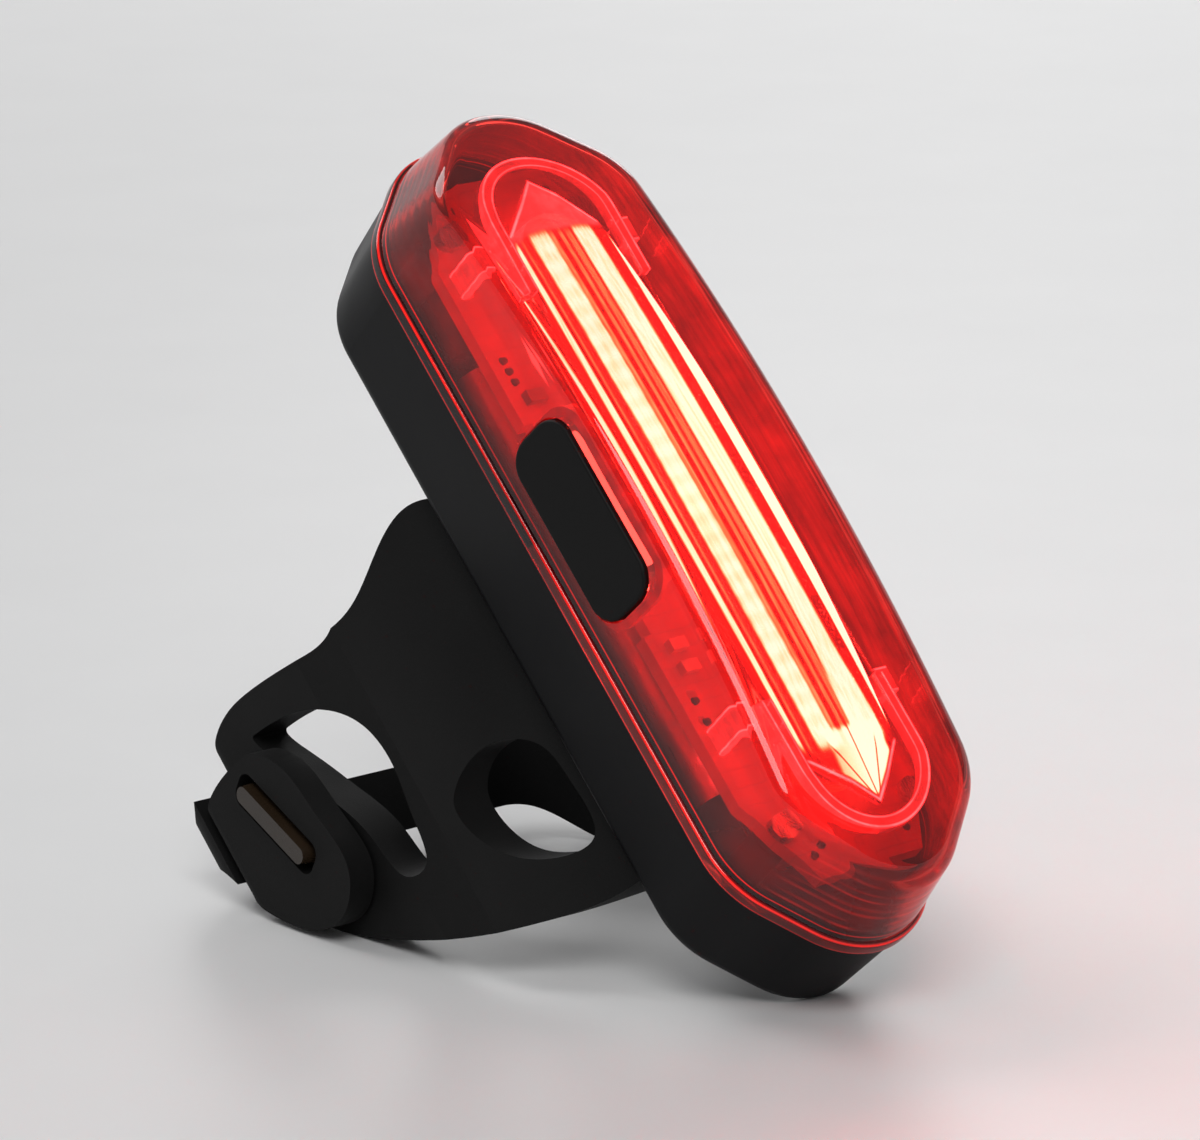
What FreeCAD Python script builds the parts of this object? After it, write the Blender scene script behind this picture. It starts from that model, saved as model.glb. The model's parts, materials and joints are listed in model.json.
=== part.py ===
import FreeCAD, Part
import math
import os
from types import SimpleNamespace
from FreeCAD import Placement, Rotation, Vector

# Rechargeable bicycle tail light with a rubber seatpost strap, resting on a table.
# Lamp frame: X across, -Y out through the lens, +Z along the lamp, zero at the parting face.

doc = FreeCAD.newDocument("TailLight")
sheet = doc.addObject("Spreadsheet::Sheet", "Dims")

sizes = {
    # lamp outline at the parting face
    "lampLength": 75.0, "lampWidth": 22.5, "endRadius": 8.3,
    # rear case
    "caseDepth": 9.1, "caseStep": 0.3, "caseDraft": 4.5, "caseWall": 1.4, "caseFloor": 1.5,
    "caseRound": 1.2, "postRadius": 1.5, "postSide": 2.3, "postEnd": 4.5, "nailRadius": 0.55,
    # seal in the rabbet of the case wall
    "sealWidth": 0.6, "sealDepth": 0.9, "sealSlack": 0.05,
    # front lens
    "lipHeight": 1.1, "lipStep": 0.35, "lensSide": 8.3, "lensArch": 3.56, "lensDraft": 8.0,
    "lensWall": 1.1, "lensRound": 1.7,
    # lamp board
    "boardBack": 3.0, "boardThick": 1.2, "boardSide": 2.75, "boardEnd": 5.5,
    "boardNotch": 0.7, "leadHole": 0.45,
    # light strip and light guide
    "stripWidth": 5.2, "stripLength": 52.0, "stripHeight": 0.8, "guideGap": 0.2,
    "ringWidth": 12.4, "ringLength": 62.6, "ringThick": 0.7, "ringTop": 7.8,
    "barWidth": 9.0, "barBulge": 0.7, "barShoulder": 24.6, "barTip": 29.2, "barFlat": 3.6,
    "barGap": 0.6, "facetDrop": 0.9, "hipStart": 23.6, "tipHeight": 0.9, "rimHeight": 0.9, "rimThick": 1.0,
    "rimStart": 19.0, "rimGap": 0.3, "coreWidth": 6.4, "slotWidth": 0.5, "slotLength": 44.0,
    "armHigh": 23.4, "armLow": -19.3, "armWidth": 2.2, "armReach": 7.6, "armThick": 0.8, "armSlack": 0.15,
    # push button in the side of the lens
    "buttonY": 6.04, "buttonZ": 0.5, "buttonHeight": 6.5, "buttonLength": 16.5,
    "buttonRound": 2.3, "buttonProud": 0.35, "buttonSlack": 0.15, "bootThick": 0.5,
    "bootRim": 0.6, "bootGap": 0.05, "switchWidth": 6.0, "switchHeight": 1.9, "nubReach": 0.9,
    "switchDepth": 3.2, "plungerReach": 0.6, "plungerRoot": 0.4, "plungerSlack": 0.1, "nubGap": 0.05,
    "pressTravel": 0.3,
    # battery
    "cellWidth": 15.5, "cellThick": 7.0, "cellLength": 40.0, "cellZ": -2.0, "cellRound": 2.4,
    "padThick": 1.5, "padWidth": 3.0, "leadRadius": 0.35, "leadX": 2.6, "leadRun": 6.2,
    # charging socket and its flap
    "socketZ": 23.5, "socketWidth": 7.6, "socketHeight": 2.8, "socketDepth": 5.0,
    "socketWall": 0.35, "socketSlack": 0.25, "tongueThick": 0.6, "flapWidth": 12.0,
    "flapHeight": 7.6, "flapThick": 1.2, "flapSlack": 0.2, "flapPlug": 1.6, "recessRound": 1.0,
    # saddle and strap round the seatpost
    "seatpostRadius": 13.6, "saddleFloor": 2.8, "saddleRoot": 8.7, "armOut": 3.4,
    "loopDepth": 34.5, "bandThick": 2.4, "cornerRadius": 8.0, "plateWidth": 12.0,
    "plateLength": 24.0, "plateThick": 1.5, "plateZ": -5.5, "mountScrewZ": 8.0,
    "screwHead": 2.0, "screwShank": 0.95, "armEnd": 39.4, "armGap": 0.4, "bandCorner": 3.2,
    "tabThick": 2.4, "tabGap": 0.3, "pegY": 32.5, "pegZ": -0.9, "pegWidth": 2.2,
    "pegLength": 9.8, "pegTurn": 19.6, "pegProud": 0.6, "pegSlack": 0.4, "pegDraft": 6.0,
}
for row, (name, value) in enumerate(sizes.items(), start=1):
    sheet.set(f"A{row}", name)
    sheet.set(f"B{row}", str(value))
    sheet.setAlias(f"B{row}", name)
doc.recompute()
d = SimpleNamespace(**{name: float(sheet.get(name)) for name in sizes})

wholePieces = []
boardHalfWidth = d.lampWidth / 2 - d.boardSide
boardHalfLength = d.lampLength / 2 - d.boardEnd
posts = [(sx * (boardHalfWidth - d.postSide), sz * (boardHalfLength - d.postEnd))
         for sx in (1, -1) for sz in (1, -1)]
switchX = ("(lampWidth / 2 - lipStep - lensWall - bootGap - bootThick - nubReach - nubGap"
           " - plungerReach - tan(lensDraft * 1 deg)"
           " * (boardBack + boardThick + switchHeight / 2 - lipHeight))")


def bind(feature, prop, formula):
    """Tie one size of a feature to the sheet; the sheet's words are written bare."""
    words = sorted(sizes, key=len, reverse=True)
    text, out, i = formula, "", 0
    while i < len(text):
        word = next((w for w in words if text.startswith(w, i)), None)
        out += "Dims." + word if word else text[i]
        i += len(word) if word else 1
    feature.setExpression(prop, out)


def newBody(name):
    return doc.addObject("PartDesign::Body", name)


def sketchOn(body, role, curves, formula="0"):
    """Sketch on one origin plane of the body, moved along the plane's normal."""
    sketch = body.newObject("Sketcher::SketchObject", body.Name + "Sketch")
    plane = next(f for f in body.Origin.OriginFeatures if f.Role == role)
    sketch.AttachmentSupport = (plane, [""])
    sketch.MapMode = "FlatFace"
    bind(sketch, "AttachmentOffset.Base.z", formula)
    sketch.addGeometry(curves, False)
    return sketch


def pad(body, sketch, formula, back=False, both=False, draft=None):
    feature = body.newObject("PartDesign::Pad", body.Name + "Pad")
    feature.Profile = sketch
    bind(feature, "Length", formula)
    feature.Reversed, feature.Midplane = back, both
    if draft:
        bind(feature, "TaperAngle", draft)
    body.Tip = feature
    return feature


def pocket(body, sketch, formula, back=False, both=False, draft=None):
    feature = body.newObject("PartDesign::Pocket", body.Name + "Pocket")
    feature.Profile = sketch
    bind(feature, "Length", formula)
    feature.Reversed, feature.Midplane = back, both
    if draft:
        bind(feature, "TaperAngle", draft)
    body.Tip = feature
    return feature


def roundEdges(body, formula, choose):
    """Fillet the edges of the body so far that the choice picks."""
    doc.recompute()
    base = body.Tip
    names = [f"Edge{i}" for i, edge in enumerate(base.Shape.Edges, start=1) if choose(edge)]
    feature = body.newObject("PartDesign::Fillet", body.Name + "Fillet")
    feature.Base = (base, names)
    bind(feature, "Radius", formula)
    body.Tip = feature
    return feature


def flatAt(edge, axis, place):
    """True for an edge that lies wholly at one place along an axis."""
    box = edge.BoundBox
    low, high = (box.YMin, box.YMax) if axis == "y" else (box.XMin, box.XMax)
    return abs(low - place) < 0.02 and abs(high - place) < 0.02


def runsAlong(edge, axis):
    if edge.Curve.TypeId != "Part::GeomLine":
        return False
    return edge.tangentAt(edge.FirstParameter).cross(axis).Length < 0.01


def combine(kind, name, base, tools):
    """Part::Cut or Part::Common of whole objects; several tools are fused first."""
    if len(tools) > 1:
        fused = doc.addObject("Part::MultiFuse", name + "Tools")
        fused.Shapes = tools
        tools = [fused]
    feature = doc.addObject("Part::" + kind, name)
    feature.Base, feature.Tool = base, tools[0]
    return feature


def keep(feature, label):
    feature.Label = label
    wholePieces.append(feature)
    return feature


def line(x1, y1, x2, y2):
    return Part.LineSegment(Vector(x1, y1, 0), Vector(x2, y2, 0))


def arc(x, y, radius, start, end):
    """Arc counter-clockwise from one angle to the other, in degrees."""
    circle = Part.Circle(Vector(x, y, 0), Vector(0, 0, 1), radius)
    return Part.ArcOfCircle(circle, math.radians(start), math.radians(end))


def circle(x, y, radius):
    return [Part.Circle(Vector(x, y, 0), Vector(0, 0, 1), radius)]


def polygon(points):
    ends = points[1:] + points[:1]
    return [line(*a, *b) for a, b in zip(points, ends)]


def rectangle(x, y, width, height):
    w, v = width / 2, height / 2
    return polygon([(x - w, y - v), (x + w, y - v), (x + w, y + v), (x - w, y + v)])


def softRectangle(x, y, width, height, radius):
    w, v, r = width / 2, height / 2, radius
    curves = []
    for sx, sy, start in ((1, 1, 0), (-1, 1, 90), (-1, -1, 180), (1, -1, 270)):
        curves.append(arc(x + sx * (w - r), y + sy * (v - r), r, start, start + 90))
    curves.append(line(x + w - r, y + v, x - w + r, y + v))
    curves.append(line(x - w, y + v - r, x - w, y - v + r))
    curves.append(line(x - w + r, y - v, x + w - r, y - v))
    curves.append(line(x + w, y - v + r, x + w, y + v - r))
    return curves


def lampOutline(inset):
    """Outline of the lamp seen from the front: straight sides and ends of three arcs
    joined by two short flats at 45 degrees, drawn in all round by the inset."""
    halfWidth, halfLength = d.lampWidth / 2 - inset, d.lampLength / 2 - inset
    r = d.endRadius - inset
    c = math.cos(math.radians(45))
    curves = []
    for end in (1, -1):
        shoulder = end * (halfLength - halfWidth)
        tip = end * (halfLength - r)
        turn = 0 if end > 0 else 180
        sides = (1, -1) if end > 0 else (-1, 1)
        curves.append(arc(sides[0] * (halfWidth - r), shoulder, r, turn, turn + 45))
        curves.append(arc(0, tip, r, turn + 45, turn + 135))
        curves.append(arc(sides[1] * (halfWidth - r), shoulder, r, turn + 135, turn + 180))
        for side in (1, -1):
            curves.append(line(side * (halfWidth - r + r * c), shoulder + end * r * c,
                               side * r * c, tip + end * r * c))
    for side in (1, -1):
        curves.append(line(side * halfWidth, halfWidth - halfLength,
                           side * halfWidth, halfLength - halfWidth))
    return curves


def throughPoints(points, closed=False):
    curve = Part.BSplineCurve()
    curve.interpolate([Vector(x, y, 0) for x, y in points], PeriodicFlag=closed)
    return curve


archRadius = ((d.lampLength / 2) ** 2 + d.lensArch ** 2) / (2 * d.lensArch)
draftSlope = math.tan(math.radians(d.lensDraft))


def archCut(name, depthIn):
    """Block in front of the arched lens face, which lies depthIn behind the outside."""
    body = newBody(name)
    crown = d.lensSide + d.lensArch - depthIn
    r = archRadius - depthIn
    reach = d.lampLength / 2 + 4
    half = math.degrees(math.asin(reach / r))
    drop = r - math.sqrt(r * r - reach * reach)
    face = arc(-crown + r, 0, r, 180 - half, 180 + half)
    front = -crown - 5
    curves = [face, line(-crown + drop, -reach, front, -reach), line(front, -reach, front, reach),
              line(front, reach, -crown + drop, reach)]
    pad(body, sketchOn(body, "YZ_Plane", curves), "lampWidth + 4", both=True)
    return body


def wallX(y, depthIn=0.0):
    """Half width of the lens wall at a height y in front of the parting face."""
    return d.lampWidth / 2 - d.lipStep - depthIn - draftSlope * (y - d.lipHeight)


# ---- rear case: drafted tray with board posts, socket recess and screw holes
def rearCase():
    body = newBody("rearCase")
    pad(body, sketchOn(body, "XZ_Plane", lampOutline(d.caseStep)), "caseDepth", back=True,
        draft="-caseDraft")
    roundEdges(body, "caseRound", lambda e: flatAt(e, "y", d.caseDepth))
    cavity = sketchOn(body, "XZ_Plane", lampOutline(d.caseStep + d.caseWall))
    pocket(body, cavity, "caseDepth - caseFloor", draft="-caseDraft")
    rabbetWidth = d.sealWidth + 2 * d.sealSlack
    rabbet = sketchOn(body, "XZ_Plane", lampOutline(d.caseStep + d.caseWall - rabbetWidth))
    pocket(body, rabbet, "sealDepth")
    stands = [c for x, z in posts for c in circle(x, z, d.postRadius)]
    floor = "-(caseDepth - caseFloor)"
    pad(body, sketchOn(body, "XZ_Plane", stands, floor), "caseDepth - caseFloor + boardBack")
    block = softRectangle(0, d.socketZ, d.flapWidth + 1.6, d.flapHeight + 1.2, 1.6)
    pad(body, sketchOn(body, "XZ_Plane", block, floor), "flapThick")
    bosses = [c for s in (1, -1)
              for c in circle(0, d.plateZ + s * d.mountScrewZ, d.screwShank + 1.0)]
    pad(body, sketchOn(body, "XZ_Plane", bosses, floor), "padThick - 0.3")
    # corners square enough for the flap to swing up past them
    recess = softRectangle(0, d.socketZ, d.flapWidth + 2 * d.flapSlack,
                           d.flapHeight + 2 * d.flapSlack, d.recessRound)
    pocket(body, sketchOn(body, "XZ_Plane", recess, "-caseDepth"), "flapThick", back=True)
    mouth = softRectangle(0, d.socketZ, d.socketWidth + 2 * d.socketSlack,
                          d.socketHeight + 2 * d.socketSlack, 0.8)
    pocket(body, sketchOn(body, "XZ_Plane", mouth, "-caseDepth"), "caseFloor + flapThick + 1",
           back=True)
    holes = [c for s in (1, -1) for c in circle(0, d.plateZ + s * d.mountScrewZ, d.screwShank)]
    pocket(body, sketchOn(body, "XZ_Plane", holes, "-caseDepth"), "caseFloor + padThick",
           back=True)
    nails = [c for x, z in posts for c in circle(x, z, d.nailRadius)]
    pocket(body, sketchOn(body, "XZ_Plane", nails, "boardBack"), "4")
    keep(body, "rear_case")


def lensSeal():
    body = newBody("lensSeal")
    outer = d.caseStep + d.caseWall - d.sealWidth - d.sealSlack
    ring = lampOutline(outer) + lampOutline(outer + d.sealWidth)
    pad(body, sketchOn(body, "XZ_Plane", ring), "sealDepth", back=True)
    keep(body, "lens_seal")


# ---- front lens: lip, drafted wall and arched face, hollow, with the button opening
def lensSolid(name, depthIn):
    wall = newBody(name + "Wall")
    start = "lipHeight" if depthIn == 0 else "0"
    inset = d.lipStep + depthIn - (0 if depthIn == 0 else draftSlope * d.lipHeight)
    sketch = sketchOn(wall, "XZ_Plane", lampOutline(inset), start)
    pad(wall, sketch, "lensSide + lensArch + 1", draft="-lensDraft")
    arched = combine("Cut", name + "Arched", wall, [archCut(name + "Arch", depthIn)])
    if depthIn:
        return arched
    doc.recompute()
    front = [i for i, e in enumerate(arched.Shape.Edges, start=1)
             if e.BoundBox.YMin < -d.lensSide + 0.05 and not wallEdge(e)]
    fillet = doc.addObject("Part::Fillet", name + "Rounded")
    fillet.Base = arched
    fillet.Edges = [(i, d.lensRound, d.lensRound) for i in front]
    return fillet


def wallEdge(edge):
    """True for an edge that climbs the side wall."""
    return edge.BoundBox.YLength > d.lensSide / 2


def buttonSection(grow):
    """Button outline on the side of the lens, as (y, z)."""
    return softRectangle(-d.buttonY, d.buttonZ, d.buttonHeight + 2 * grow,
                         d.buttonLength + 2 * grow, d.buttonRound + grow)


def frontLens():
    outer = lensSolid("lensOuter", 0.0)
    inner = lensSolid("lensInner", d.lensWall)
    lip = newBody("lensLip")
    pad(lip, sketchOn(lip, "XZ_Plane", lampOutline(0)), "lipHeight")
    roundEdges(lip, "lipStep", lambda e: flatAt(e, "y", -d.lipHeight))
    shell = doc.addObject("Part::MultiFuse", "lensShell")
    shell.Shapes = [outer, lip]
    opening = newBody("buttonOpening")
    sketch = sketchOn(opening, "YZ_Plane", buttonSection(d.buttonSlack), "-lampWidth / 2 + 4.5")
    pad(opening, sketch, "7", back=True)
    keep(combine("Cut", "frontLens", shell, [inner, opening]), "front_lens")


def slantedBlock(name, outFormulas, grow, radius):
    """Rounded block in the button opening whose two faces follow the slanted lens wall.
    outFormulas gives the depth of its outer and inner face inside the lens surface."""
    outside, inside = outFormulas
    body = newBody(name)
    y1 = d.buttonY - d.buttonHeight / 2 - grow
    y2 = d.buttonY + d.buttonHeight / 2 + grow
    points = [(-wallX(y1, outside), -y1), (-wallX(y2, outside), -y2),
              (-wallX(y2, inside), -y2), (-wallX(y1, inside), -y1)]
    sketch = sketchOn(body, "XY_Plane", polygon(points), "buttonZ")
    feature = body.newObject("PartDesign::Pad", name + "Pad")
    feature.Profile = sketch
    feature.Length = d.buttonLength + 2 * grow
    feature.Midplane = True
    body.Tip = feature
    roundEdges(body, radius, lambda e: e.Length < abs(outside - inside) * 1.3
               and e.BoundBox.ZLength < 0.01)
    return body


def button():
    seat = d.lensWall + d.bootGap
    body = slantedBlock("buttonCap", (-d.buttonProud, seat), 0, "buttonRound")
    corner = -wallX(d.buttonY + d.buttonHeight / 2)
    roundEdges(body, "buttonProud / 1.4", lambda e: e.BoundBox.XMax < corner)
    keep(body, "button_cap")
    boot = slantedBlock("buttonBoot", (seat, seat + d.bootThick), d.bootRim, "buttonRound")
    sketch = sketchOn(boot, "YZ_Plane", softRectangle(-switchY(), d.buttonZ, 1.5, 3.0, 0.4),
                      f"-{switchX} - plungerReach - nubGap")
    pad(boot, sketch, "nubReach + bootThick / 2", back=True)
    keep(boot, "button_boot")


def switchY():
    """Middle of the switch in front of the parting face."""
    return d.boardBack + d.boardThick + d.switchHeight / 2


def sideSwitch():
    body = newBody("switchBody")
    outline = rectangle(-switchY(), d.buttonZ, d.switchHeight, d.switchWidth)
    pad(body, sketchOn(body, "YZ_Plane", outline, "-" + switchX), "switchDepth")
    slack = 2 * d.plungerSlack
    well = softRectangle(-switchY(), d.buttonZ, 1.0 + slack, 2.4 + slack, 0.3)
    pocket(body, sketchOn(body, "YZ_Plane", well, "-" + switchX),
           "plungerRoot + pressTravel + plungerSlack", back=True)
    keep(body, "switch_body")
    plunger = newBody("switchPlunger")
    outline = softRectangle(-switchY(), d.buttonZ, 1.0, 2.4, 0.3)
    sketch = sketchOn(plunger, "YZ_Plane", outline, f"-{switchX} + plungerRoot")
    pad(plunger, sketch, "plungerReach + plungerRoot", back=True)
    keep(plunger, "switch_plunger")


# ---- lamp board with its parts
def lampBoard():
    body = newBody("lampBoard")
    w, v = boardHalfWidth, boardHalfLength
    cut = 3.6
    low = d.buttonZ - d.buttonLength / 2 - d.bootRim - 1
    high = d.buttonZ + d.buttonLength / 2 + d.bootRim + 1
    points = [(-w + cut, -v), (w - cut, -v), (w, -v + 2 * cut), (w, v - 2 * cut), (w - cut, v),
              (-w + cut, v), (-w, v - 2 * cut), (-w, high), (-w + d.boardNotch, high),
              (-w + d.boardNotch, low), (-w, low), (-w, -v + 2 * cut)]
    pad(body, sketchOn(body, "XZ_Plane", polygon(points), "boardBack"), "boardThick")
    holes = [c for x, z in posts for c in circle(x, z, d.nailRadius + 0.1)]
    nearArm = d.armLow + d.armWidth / 2 + d.armSlack + d.leadHole + 0.3
    holes += circle(1 - w, nearArm, d.leadHole) + circle(1.3 - w, nearArm + 2.3, d.leadHole)
    slots = [c for x, z in armPlaces()
             for c in rectangle(x, z, d.armThick + 2 * d.armSlack, d.armWidth + 2 * d.armSlack)]
    pocket(body, sketchOn(body, "XZ_Plane", holes + slots, "boardBack + boardThick"),
           "boardThick + 1")
    keep(body, "lamp_board")


def armPlaces():
    """Middle of each snap arm's leg on the board, as (x, z)."""
    x = d.armReach - d.armThick / 2
    return [(side * x, z) for side in (1, -1) for z in (d.armHigh, d.armLow)]


def lightStrip():
    body = newBody("lightStrip")
    outline = softRectangle(0, 0, d.stripWidth, d.stripLength, d.stripWidth / 2 - 0.01)
    pad(body, sketchOn(body, "XZ_Plane", outline, "boardBack + boardThick"), "stripHeight")
    keep(body, "light_strip")


def boardParts():
    front = "boardBack + boardThick"
    body = newBody("chargeChip")
    pad(body, sketchOn(body, "XZ_Plane", rectangle(5.9, -12.5, 3.0, 4.2), front), "1.1")
    keep(body, "charge_chip")
    body = newBody("chargeLights")
    spots = rectangle(-6.2, -10.8, 1.6, 1.0) + rectangle(-6.2, -12.8, 1.6, 1.0)
    pad(body, sketchOn(body, "XZ_Plane", spots, front), "0.6")
    keep(body, "charge_lights")
    body = newBody("smallParts")
    chips = []
    for x, z in ((5.4, -6.0), (5.4, -3.6), (5.8, 6.0), (5.8, 9.0), (5.8, 12.0), (-6.3, 12.5)):
        chips += rectangle(x, z, 1.8, 1.1)
    pad(body, sketchOn(body, "XZ_Plane", chips, front), "0.6")
    keep(body, "small_parts")
    body = newBody("ballast")
    pad(body, sketchOn(body, "XZ_Plane", softRectangle(5.6, 1.6, 3.2, 3.2, 0.6), front), "1.5")
    keep(body, "inductor")


def boardScrews():
    body = newBody("boardScrews")
    shanks = [c for x, z in posts for c in circle(x, z, d.nailRadius)]
    pad(body, sketchOn(body, "XZ_Plane", shanks, "boardBack + boardThick"), "boardThick + 3",
        back=True)
    tops = [c for x, z in posts for c in circle(x, z, d.nailRadius * 2)]
    pad(body, sketchOn(body, "XZ_Plane", tops, "boardBack + boardThick"), "0.7")
    keep(body, "board_screws")


# ---- light guide: gem-cut bar on a ring with four snap arms
def lightGuide():
    body = newBody("lightGuide")
    ring = softRectangle(0, 0, d.ringWidth, d.ringLength, d.ringWidth / 2 - 0.01)
    pad(body, sketchOn(body, "XZ_Plane", ring, "ringTop - ringThick"), "ringThick")
    core = softRectangle(0, 0, d.coreWidth, d.stripLength, d.coreWidth / 2 - 0.01)
    coreStart = "boardBack + boardThick + stripHeight + guideGap"
    pad(body, sketchOn(body, "XZ_Plane", core, coreStart),
        "ringTop - ringThick - boardBack - boardThick - stripHeight - guideGap")

    rim = softRectangle(0, 0, d.ringWidth - 2 * d.rimThick, d.ringLength - 2 * d.rimThick,
                        d.ringWidth / 2 - d.rimThick - 0.01)
    pad(body, sketchOn(body, "XZ_Plane", ring + rim, "ringTop"), "rimHeight")
    middle = rectangle(0, 0, d.ringWidth + 2, 2 * d.rimStart)
    pocket(body, sketchOn(body, "XZ_Plane", middle, "ringTop + rimHeight"), "rimHeight")
    slotX = (d.ringWidth / 2 - d.rimThick + d.barWidth / 2) / 2
    slots = [c for s in (1, -1) for c in rectangle(s * slotX, 0, d.slotWidth, d.slotLength)]
    pocket(body, sketchOn(body, "XZ_Plane", slots, "ringTop"), "ringThick")
    arms, legs, barbs = [], [], []
    for x, z in armPlaces():
        side = 1 if x > 0 else -1
        root, barb = side * (d.ringWidth / 2 - 0.3), 0.6
        arms += rectangle((root + side * d.armReach) / 2, z, d.armReach - abs(root), d.armWidth)
        legs += rectangle(x, z, d.armThick, d.armWidth)
        barbs += rectangle(x - side * barb / 2, z, d.armThick + barb, d.armWidth)
    pad(body, sketchOn(body, "XZ_Plane", arms, "ringTop - ringThick"), "ringThick")
    pad(body, sketchOn(body, "XZ_Plane", legs, "boardBack - 0.9"),
        "ringTop - boardBack + 0.9 - ringThick / 2")
    pad(body, sketchOn(body, "XZ_Plane", barbs, "boardBack - 0.9"), "0.8")
    whole = doc.addObject("Part::MultiFuse", "guideWhole")
    whole.Shapes = [body, gemBar()]
    # the rims' outer ends follow the arch of the lens
    room = archCut("guideRoom", d.lensWall + d.rimGap)
    keep(combine("Cut", "lightGuide", whole, [room]), "light_guide")


def gemBar():
    """Bar with pointed ends and bowed sides, whose faceted top follows the arched lens.
    Two hip facets slant down to each point."""
    plan = newBody("barPlan")
    half, bow = d.barWidth / 2, d.barBulge
    radius = (d.barShoulder ** 2 + bow ** 2) / (2 * bow)
    turn = math.degrees(math.asin(d.barShoulder / radius))
    curves = [arc(half + bow - radius, 0, radius, -turn, turn),
              arc(radius - half - bow, 0, radius, 180 - turn, 180 + turn)]
    for end in (1, -1):
        curves.append(line(half, end * d.barShoulder, 0, end * d.barTip))
        curves.append(line(0, end * d.barTip, -half, end * d.barShoulder))
    start = "ringTop - ringThick / 2"
    pad(plan, sketchOn(plan, "XZ_Plane", curves, start), "lensArch + lensSide - ringTop")
    top = newBody("barTop")
    crown = d.lensSide + d.lensArch - d.lensWall - d.barGap
    wide, flat, foot = half + bow + 1, d.barFlat / 2, d.boardBack
    edge = crown - d.facetDrop * (wide - flat) / (half + bow - flat)
    section = polygon([(-wide, -foot), (wide, -foot), (wide, -edge), (flat, -crown),
                       (-flat, -crown), (-wide, -edge)])
    axis = line(-wide, archRadius - d.lensWall - d.barGap - crown,
                wide, archRadius - d.lensWall - d.barGap - crown)
    sketch = sketchOn(top, "XY_Plane", section + [axis])
    sketch.setConstruction(len(section), True)
    turned = top.newObject("PartDesign::Revolution", "barArch")
    turned.Profile, turned.ReferenceAxis = sketch, (sketch, ["Axis0"])
    turned.Angle, turned.Midplane = 30, True
    top.Tip = turned
    hips = newBody("barHips")
    low = d.ringTop + d.tipHeight
    curves = []
    for end in (1, -1):
        curves += polygon([(-crown, end * d.hipStart), (-crown - 2, end * d.hipStart),
                           (-crown - 2, end * (d.barTip + 1)), (-low, end * (d.barTip + 1)),
                           (-low, end * d.barTip)])
    pad(hips, sketchOn(hips, "YZ_Plane", curves), "2 * lampWidth", both=True)
    arched = combine("Common", "barArched", plan, [top])
    return combine("Cut", "gemBar", arched, [hips])


# ---- battery, its pads and leads
def battery():
    body = newBody("batteryCell")
    low = "-(caseDepth - caseFloor - padThick)"
    outline = rectangle(0, d.cellZ, d.cellWidth, d.cellLength)
    pad(body, sketchOn(body, "XZ_Plane", outline, low), "cellThick")
    roundEdges(body, "cellRound", lambda e: runsAlong(e, Vector(0, 0, 1)))
    keep(body, "battery_cell")
    body = newBody("batteryPads")
    strips = [c for s in (1, -1)
              for c in rectangle(s * (d.cellWidth / 2 - d.padWidth), d.cellZ, d.padWidth,
                                 d.cellLength - 6)]
    pad(body, sketchOn(body, "XZ_Plane", strips, "-(caseDepth - caseFloor)"), "padThick")
    keep(body, "battery_pads")
    cellMid = d.caseDepth - d.caseFloor - d.padThick - d.cellThick / 2
    cellEnd = d.cellZ - d.cellLength / 2
    for side, label in ((-1, "battery_lead_red"), (1, "battery_lead_black")):
        x = side * d.leadX
        start, corner, end = (Vector(x, cellMid, cellEnd), Vector(x, cellMid, cellEnd - d.leadRun),
                              Vector(x, -d.boardBack, cellEnd - d.leadRun))
        shape = wire([start, corner, end], d.leadRadius)
        lead = doc.addObject("Part::Feature", "lead")
        lead.Shape = shape
        keep(lead, label)


def wire(points, radius):
    """Round wire along straight runs joined by tangent arcs."""
    edges, at = [], points[0]
    for before, corner, after in zip(points, points[1:], points[2:]):
        u, v = (before - corner).normalize(), (after - corner).normalize()
        turn = math.pi - u.getAngle(v)
        back = 0.45 * min((corner - before).Length, (after - corner).Length)
        bend = back / math.tan(turn / 2)
        first, last = corner + u * back, corner + v * back
        middle = corner + (u + v).normalize() * (bend / math.cos(turn / 2) - bend)
        edges += [Part.LineSegment(at, first).toShape(), Part.Arc(first, middle, last).toShape()]
        at = last
    edges.append(Part.LineSegment(at, points[-1]).toShape())
    path = Part.Wire(edges)
    section = Part.Wire(Part.Circle(points[0], points[1] - points[0], radius).toShape())
    tube = path.makePipeShell([section], True, False)
    share = tube.Volume / (math.pi * radius ** 2 * path.Length)
    print("lead bend", round(bend, 2), "mm, volume over section times length", round(share, 4))
    return tube


# ---- charging socket behind a rubber flap
def flapHinge():
    """Place of the flap's rubber hinge along its upper edge, as (y, z)."""
    half = (d.flapThick - d.flapSlack) / 2
    return d.caseDepth - half, d.socketZ + d.flapHeight / 2 - half


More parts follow.
